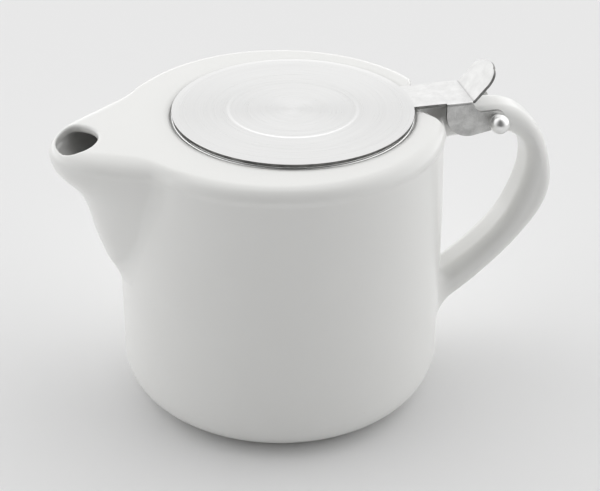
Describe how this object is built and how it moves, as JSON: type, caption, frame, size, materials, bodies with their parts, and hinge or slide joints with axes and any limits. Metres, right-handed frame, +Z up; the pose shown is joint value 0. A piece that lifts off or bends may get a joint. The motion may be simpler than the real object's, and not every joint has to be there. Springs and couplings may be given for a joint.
{
  "type": "teapot with infuser",
  "caption": "Cylindrical white glazed teapot with a beak spout, bow handle, hinged flat steel lid with thumb tab, and a drop-in perforated steel infuser basket.",
  "frame": {"origin": "centre of the foot ring, on the surface that the pot stands on", "axes": "+Z up, +X towards the handle, spout towards -X, mirror plane XZ"},
  "size_m": [0.1722, 0.11, 0.1114],
  "materials": {
    "glaze": "semi-gloss white glaze",
    "lid_steel": "circular brushed",
    "pin_steel": "satin",
    "basket_steel": "satin"
  },
  "bodies": {
    "pot": {"pot_body": "glaze", "handle": "glaze"},
    "lid": {"lid": "lid_steel", "hinge_pin": "pin_steel", "hinge_cap": "pin_steel"},
    "infuser": {"infuser_rim": "basket_steel", "infuser_wall": "basket_steel", "infuser_base": "basket_steel"}
  },
  "joints": [
    {"name": "lid_hinge", "type": "hinge", "parent": "pot", "child": "lid", "pos_m": [0.0722, 0, 0.0943], "axis": [0, 1, 0], "range_deg": [0, 100]},
    {"name": "infuser_turn", "type": "hinge", "parent": "pot", "child": "infuser", "pos_m": [0.0043, 0, 0.0992], "axis": [0, 0, 1], "continuous": true}
  ]
}
